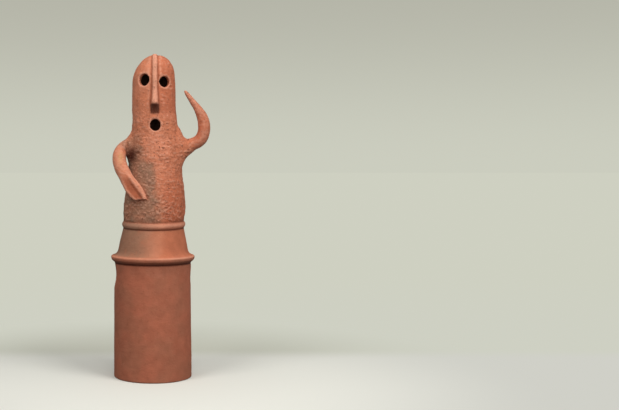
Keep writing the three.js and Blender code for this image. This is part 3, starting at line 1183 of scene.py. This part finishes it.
@dataclass(frozen=True)
class FiredClay:
    """Unglazed low-fired clay: matt, mottled, gritty where the potter left it rough.

    Attributes:
        body: The clay's own colour on the torso and the head.
        blush: What it drifts to in slow patches.
        smoke, ember, turned, worn, sunk, soot, stain, inner: The colours of the tones; worn is real wear
        with painted highlight, and sunk, soot and inner are painted shade.
        freckle: Dark grit in the clay, and spark: pale grit.
        roughness: How matt it is.
        bump: Depth of the fine grain in metres.
    """

    body: Colour = (0.50, 0.165, 0.085)
    blush: Colour = (0.54, 0.195, 0.11)
    smoke: Colour = (0.215, 0.126, 0.08)
    ember: Colour = (0.44, 0.122, 0.058)
    turned: Colour = (0.40, 0.125, 0.07)
    # Pale: real wear on rubbed edges, and painted highlight on the ridge's crest and the belt's bulge.
    worn: Colour = (0.64, 0.33, 0.23)
    # Painted shade in the hollows, dark red.
    sunk: Colour = (0.20, 0.05, 0.025)
    # Painted shade: near black, laid under the arm, the nose, the brim and the belt, in the creases by the belt and in
    # the palm's hollow.
    soot: Colour = (0.058, 0.011, 0.005)
    stain: Colour = (0.42, 0.25, 0.09)
    # Painted shade: the inside of the hollow wall is coloured near black.
    inner: Colour = (0.045, 0.018, 0.011)
    freckle: Colour = (0.17, 0.06, 0.035)
    spark: Colour = (0.72, 0.42, 0.28)
    roughness: float = 0.86
    bump: float = 0.0011

    def make(self) -> bpy.types.Material:
        """Builds the material.

        Returns:
            The material.
        """
        g = Graph("fired_clay")
        place = g.add("ShaderNodeTexCoord", "Object")
        slow = g.noise(place, 0.022, 3)
        patch = g.noise(place, 0.009, 3)
        fine = g.noise(place, 0.0022, 3)
        grit = g.noise(place, 0.0011, 2)
        rough = g.tone("rough")

        colour = g.mix(g.between(slow, 0.35, 0.65), self.body, self.blush)
        colour = g.mix(g.math("MULTIPLY", g.tone("ember"), g.between(patch, 0.1, 0.45)), colour, self.ember)
        colour = g.mix(g.tone("turned"), colour, g.mix(g.between(slow, 0.3, 0.7), self.turned, self.mottled()))
        colour = g.mix(g.math("MULTIPLY", g.tone("smoke"), g.between(patch, 0.05, 0.5)), colour, self.smoke)
        colour = g.mix(g.math("MULTIPLY", g.tone("stain"), 0.6), colour, self.stain)
        # Pale rubbed edges, with painted highlights.
        colour = g.mix(g.math("MULTIPLY", g.tone("worn"), 0.55), colour, self.worn)
        # Painted shade in the hollows.
        colour = g.mix(g.math("MULTIPLY", g.tone("sunk"), 0.55), colour, self.sunk)
        # Painted shade, near black.
        colour = g.mix(g.math("MULTIPLY", g.tone("soot"), 0.95), colour, self.soot)
        # Painted shade: the inside of the wall near black.
        colour = g.mix(g.tone("inner"), colour, self.inner)
        speckled = g.math("ADD", 0.25, g.math("MULTIPLY", rough, 0.75))
        colour = g.mix(g.math("MULTIPLY", g.between(grit, 0.66, 0.80), speckled), colour, self.spark)
        colour = g.mix(g.math("MULTIPLY", g.between(fine, 0.58, 0.74), speckled), colour, self.freckle)
        shade = g.add("ShaderNodeMapRange", 0, None, Value=patch, From_Min=0.3, From_Max=0.7, To_Min=0.90, To_Max=1.10)
        colour = g.mix(1.0, colour, g.add("ShaderNodeCombineColor", 0, None, Red=shade, Green=shade, Blue=shade), "MULTIPLY")

        crumb = g.noise(place, 0.0042, 2, (1.4, 1.4, 0.9))
        height = g.math("ADD", g.math("MULTIPLY", crumb, 2.2), g.math("ADD", fine, g.math("MULTIPLY", grit, 0.5)))
        height = g.math("MULTIPLY", height, g.math("ADD", 0.22, g.math("MULTIPLY", rough, 0.78)))
        normal = g.add("ShaderNodeBump", 0, None, Height=height, Distance=self.bump, Strength=1.0)
        matt = g.add("ShaderNodeMapRange", 0, None, Value=fine, To_Min=self.roughness - 0.06, To_Max=self.roughness + 0.06)
        shader = g.add(
            "ShaderNodeBsdfPrincipled", 0, None, Base_Color=colour, Roughness=matt, Normal=normal, Specular_IOR_Level=0.14
        )
        g.surface(shader)
        return g.material

    def mottled(self) -> Colour:
        """The cylinder's second, browner colour."""
        r, v, b = self.turned
        return (r * 0.86, v * 0.98, b * 1.0)


# ---- The figure -----------------------------------------------------------------------------------


@dataclass
class Figure:
    """The finished figure: the net drawn, its inside thinned out, its skin worked and its clay fired.

    Attributes:
        clay: The form.
        finish: The fired clay.
        inner_faces: About how many triangles the inside is thinned to.
    """

    clay: Clay = field(default_factory=Clay)
    finish: FiredClay = field(default_factory=FiredClay)
    inner_faces: int = 12000

    @staticmethod
    def mesh_of(name: str, points: Array, faces: Array) -> bpy.types.Mesh:
        """A mesh in metres from points in millimetres and four-sided faces.

        Args:
            name: The mesh's name.
            points: The points, from the cylinder's axis.
            faces: Four point numbers per face.

        Returns:
            The mesh, smooth shaded.
        """
        mesh = bpy.data.meshes.new(name)
        sides = np.where(faces[:, 3] == faces[:, 2], 3, 4)
        mesh.vertices.add(len(points))
        mesh.vertices.foreach_set("co", ((points + [AXIS_X, 0, 0]) * MM).ravel())
        keep = np.ones(faces.shape, bool)
        keep[sides == 3, 3] = False
        mesh.loops.add(int(sides.sum()))
        mesh.loops.foreach_set("vertex_index", faces[keep].astype(np.int32))
        mesh.polygons.add(len(faces))
        mesh.polygons.foreach_set("loop_start", np.concatenate([[0], np.cumsum(sides)[:-1]]).astype(np.int32))
        mesh.update(calc_edges=True)
        mesh.validate()
        mesh.shade_smooth()
        return mesh

    @staticmethod
    def arrays_of(mesh: bpy.types.Mesh) -> tuple[Array, Array]:
        """A mesh's points in millimetres from the axis, and its faces, three-sided ones with their
        third point twice.

        Args:
            mesh: A mesh of three- and four-sided faces.

        Returns:
            The points and the faces.
        """
        points = np.empty(len(mesh.vertices) * 3)
        mesh.vertices.foreach_get("co", points)
        start = np.empty(len(mesh.polygons), np.int32)
        mesh.polygons.foreach_get("loop_start", start)
        sides = np.empty(len(mesh.polygons), np.int32)
        mesh.polygons.foreach_get("loop_total", sides)
        loops = np.empty(len(mesh.loops), np.int32)
        mesh.loops.foreach_get("vertex_index", loops)
        faces = loops[start[:, None] + np.minimum(np.arange(4), sides[:, None] - 1)]
        return points.reshape(-1, 3) / MM - [AXIS_X, 0, 0], faces

    def thin(self, points: Array, faces: Array) -> tuple[Array, Array]:
        """The net with its inside, which hardly shows, drawn with fewer faces.

        Args:
            points: The net's points.
            faces: Its faces.

        Returns:
            The thinned net.
        """
        hollow = self.clay.wall.inside(points)
        inner = np.clip(1 - np.abs(hollow) / 0.5, 0, 1)
        for _ in range(3):
            inner = np.minimum(inner, neighbours(inner[:, None], faces)[:, 0])
        deep = inner > 0.5
        inside = int(deep[faces].all(1).sum()) * 2
        total = len(faces) * 2
        piece = bpy.data.objects.new("net", self.mesh_of("net", points, faces))
        bpy.context.scene.collection.objects.link(piece)
        group = piece.vertex_groups.new(name="inner")
        group.add(np.flatnonzero(deep).tolist(), 1.0, "REPLACE")
        thinner = piece.modifiers.new("thinner", "DECIMATE")
        thinner.ratio = (total - inside + self.inner_faces) / total
        thinner.vertex_group = group.name
        thinner.vertex_group_factor = 1000.0
        graph = bpy.context.evaluated_depsgraph_get()
        thinned = bpy.data.meshes.new_from_object(piece.evaluated_get(graph))
        result = self.arrays_of(thinned)
        bpy.data.objects.remove(piece)
        for mesh in (thinned, bpy.data.meshes["net"]):
            bpy.data.meshes.remove(mesh)
        return result

    def make(self) -> bpy.types.Object:
        """Builds the figure's one piece and ties it to the frame.

        Returns:
            The piece.
        """
        net = Net(self.clay)
        net.draw()
        LOG.info("net: %d points, %d faces", len(net.points), len(net.faces))
        points, faces = self.thin(net.points, net.faces)
        skin = Skin(self.clay, points, faces)
        points, tones = skin.finish()
        mesh = self.mesh_of("figure", points, faces)
        for name, value in tones.items():
            layer = mesh.attributes.new(name, "FLOAT", "POINT")
            layer.data.foreach_set("value", value.astype(np.float32))
        piece = bpy.data.objects.new("figure", mesh)
        bpy.context.scene.collection.objects.link(piece)
        mesh.materials.append(self.finish.make())
        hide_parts(NODE)
        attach(piece, BODY)
        triangles = sum(len(f) - 2 for f in (p.vertices for p in mesh.polygons))
        LOG.info("figure: %d triangles", triangles)
        return piece


# ---- The studio -----------------------------------------------------------------------------------


@dataclass(frozen=True)
class Softbox:
    """A soft light: its place and what it points at in metres, its two sides, its power and colour."""

    name: str
    place: tuple[float, float, float]
    target: tuple[float, float, float]
    sides: tuple[float, float]
    power: float
    colour: Colour = (1.0, 1.0, 1.0)

    def make(self) -> None:
        """Puts the light in the scene."""
        lamp = bpy.data.lights.new(self.name, "AREA")
        lamp.shape = "RECTANGLE"
        lamp.size, lamp.size_y = self.sides
        lamp.energy, lamp.color = self.power, self.colour
        light = bpy.data.objects.new(self.name, lamp)
        light.location = self.place
        aim = Vector(self.target) - light.location
        light.rotation_euler = aim.to_track_quat("-Z", "Y").to_euler()
        bpy.context.scene.collection.objects.link(light)


@dataclass
class Studio:
    """A pale floor under soft light, and the camera.

    Attributes:
        half: Half the floor's side in metres.
        near, band, far: The floor's colour by the figure, at the soft line behind it, and far off.
        glow: The colour that the floor in front fades to.
        line: Where the line lies behind the figure, and how soft it is.
        spread: How far from the figure the lit floor fades into the even light of the backdrop.
        low, high: The backdrop's colour at the horizon and higher up.
        fill: Strength of the even light from below and from above.
        lights: The softboxes.
        distance: From the camera to the cylinder's axis.
        eye: The camera's height.
        pitch: How far it looks down, in degrees.
        lens: Its focal length in millimetres, on a 36 mm sensor.
        shift: How far its picture is shifted, so that the figure stands left of the middle.
    """

    half: float = 30.0
    near: Colour = (0.76, 0.765, 0.71)
    band: Colour = (0.62, 0.63, 0.545)
    far: Colour = (0.62, 0.63, 0.535)
    line: tuple[float, float] = (0.17, 0.12)
    glow: Colour = (0.63, 0.63, 0.575)
    spread: tuple[float, float] = (0.25, 0.75)
    low: Colour = (0.60, 0.61, 0.52)
    high: Colour = (0.46, 0.46, 0.39)
    fill: tuple[float, float] = (0.05, 0.34)
    lights: tuple[Softbox, ...] = (
        Softbox("key_right", (0.9, -1.0, 2.0), (0.0, 0.0, 0.34), (0.8, 0.7), 22.0, (1.0, 0.985, 0.96)),
        Softbox("key_left", (-0.9, -1.0, 2.0), (0.0, 0.0, 0.34), (0.8, 0.7), 16.0, (1.0, 0.985, 0.96)),
        Softbox("front", (0.2, -2.6, 1.5), (0.0, 0.0, 0.3), (1.2, 1.0), 11.0, (1.0, 0.99, 0.97)),
        Softbox("low_front", (0.1, -2.6, 0.6), (0.0, 0.0, 0.25), (1.4, 0.8), 17.0, (1.0, 0.99, 0.97)),
        Softbox("side", (1.7, -0.6, 0.9), (0.0, 0.0, 0.3), (0.8, 1.2), 3.0, (1.0, 0.99, 0.97)),
    )
    distance: float = 2.0766
    eye: float = 0.4342
    pitch: float = 2.54
    lens: float = 60.77
    shift: float = 0.2531

    def floor(self) -> bpy.types.Object:
        """The floor: a flat square whose colour changes softly from front to back.

        Returns:
            The floor.
        """
        h = self.half
        mesh = bpy.data.meshes.new("floor")
        mesh.from_pydata([(-h, -h, 0), (h, -h, 0), (h, h, 0), (-h, h, 0)], [], [(0, 1, 2, 3)])
        piece = bpy.data.objects.new("floor", mesh)
        bpy.context.scene.collection.objects.link(piece)
        g = Graph("pale_floor")
        place = g.add("ShaderNodeTexCoord", "Object")
        y = g.add("ShaderNodeSeparateXYZ", "Y", None, Vector=place)
        behind = g.between(y, self.line[0], self.line[0] + self.line[1])
        away = g.between(y, self.line[0] + self.line[1], 2.0)
        back = g.mix(away, self.band, self.far)
        lit = g.add("ShaderNodeBsdfDiffuse", 0, None, Color=g.mix(behind, self.near, self.band))
        even = g.add("ShaderNodeEmission", 0, None, Color=g.mix(behind, self.glow, back), Strength=1.0)
        reach = g.add("ShaderNodeVectorMath", "Value", {"operation": "LENGTH"}, _0=place)
        g.surface(g.add("ShaderNodeMixShader", 0, None, _0=g.between(reach, *self.spread), _1=lit, _2=even))
        mesh.materials.append(g.material)
        piece.visible_diffuse = False
        return piece

    def surroundings(self) -> None:
        """The backdrop and the light from all round: a colour that darkens with height, seen as it
        is, and an even light elsewhere."""
        world = bpy.data.worlds.new("studio")
        bpy.context.scene.world = world
        world.use_nodes = True
        nodes, links = world.node_tree.nodes, world.node_tree.links
        nodes.clear()
        g = Graph.__new__(Graph)
        g.tree = world.node_tree
        way = g.add("ShaderNodeTexCoord", "Generated")
        z = g.add("ShaderNodeSeparateXYZ", "Z", None, Vector=way)
        backdrop = g.mix(g.between(z, -0.01, 0.17), self.low, self.high)
        seen = g.add("ShaderNodeBackground", 0, None, Color=backdrop, Strength=1.0)
        strength = g.add("ShaderNodeMapRange", 0, None, Value=z, From_Min=-0.3, From_Max=0.3, To_Min=self.fill[0], To_Max=self.fill[1])
        even = g.add("ShaderNodeBackground", 0, None, Color=(1.0, 0.99, 0.96), Strength=strength)
        first = g.add("ShaderNodeLightPath", "Is Camera Ray")
        both = g.add("ShaderNodeMixShader", 0, None, _0=first, _1=even, _2=seen)
        out = nodes.new("ShaderNodeOutputWorld")
        links.new(both, out.inputs["Surface"])

    def camera(self) -> bpy.types.Object:
        """The camera in front of the figure.

        Returns:
            The camera.
        """
        data = bpy.data.cameras.new("camera")
        data.lens, data.sensor_width, data.shift_x = self.lens, 36.0, self.shift
        data.clip_start, data.clip_end = 0.05, 50.0
        camera = bpy.data.objects.new("camera", data)
        camera.location = (AXIS_X * MM, -self.distance, self.eye)
        camera.rotation_euler = (math.radians(90 - self.pitch), 0.0, 0.0)
        bpy.context.scene.collection.objects.link(camera)
        bpy.context.scene.camera = camera
        return camera

    def make(self) -> bpy.types.Object:
        """Sets the floor, the surroundings, the lights and the camera.

        Returns:
            The floor.
        """
        bpy.context.scene.view_settings.view_transform = "Standard"
        floor = self.floor()
        self.surroundings()
        for light in self.lights:
            light.make()
        self.camera()
        return floor


def corners(box: tuple) -> list[list[float]]:
    """A box's two corners as plain lists of numbers."""
    return [[float(v) for v in corner] for corner in box]


def main() -> None:
    """Loads the frame, builds the studio and the figure, and logs each piece as it is made."""
    logging.basicConfig(level=logging.INFO, format="%(name)s: %(message)s")
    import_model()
    for build in (Studio(), Figure()):
        piece = build.make()
        LOG.info("%s: %s made", type(build).__name__, piece.name)


if __name__ == "__main__":
    main()
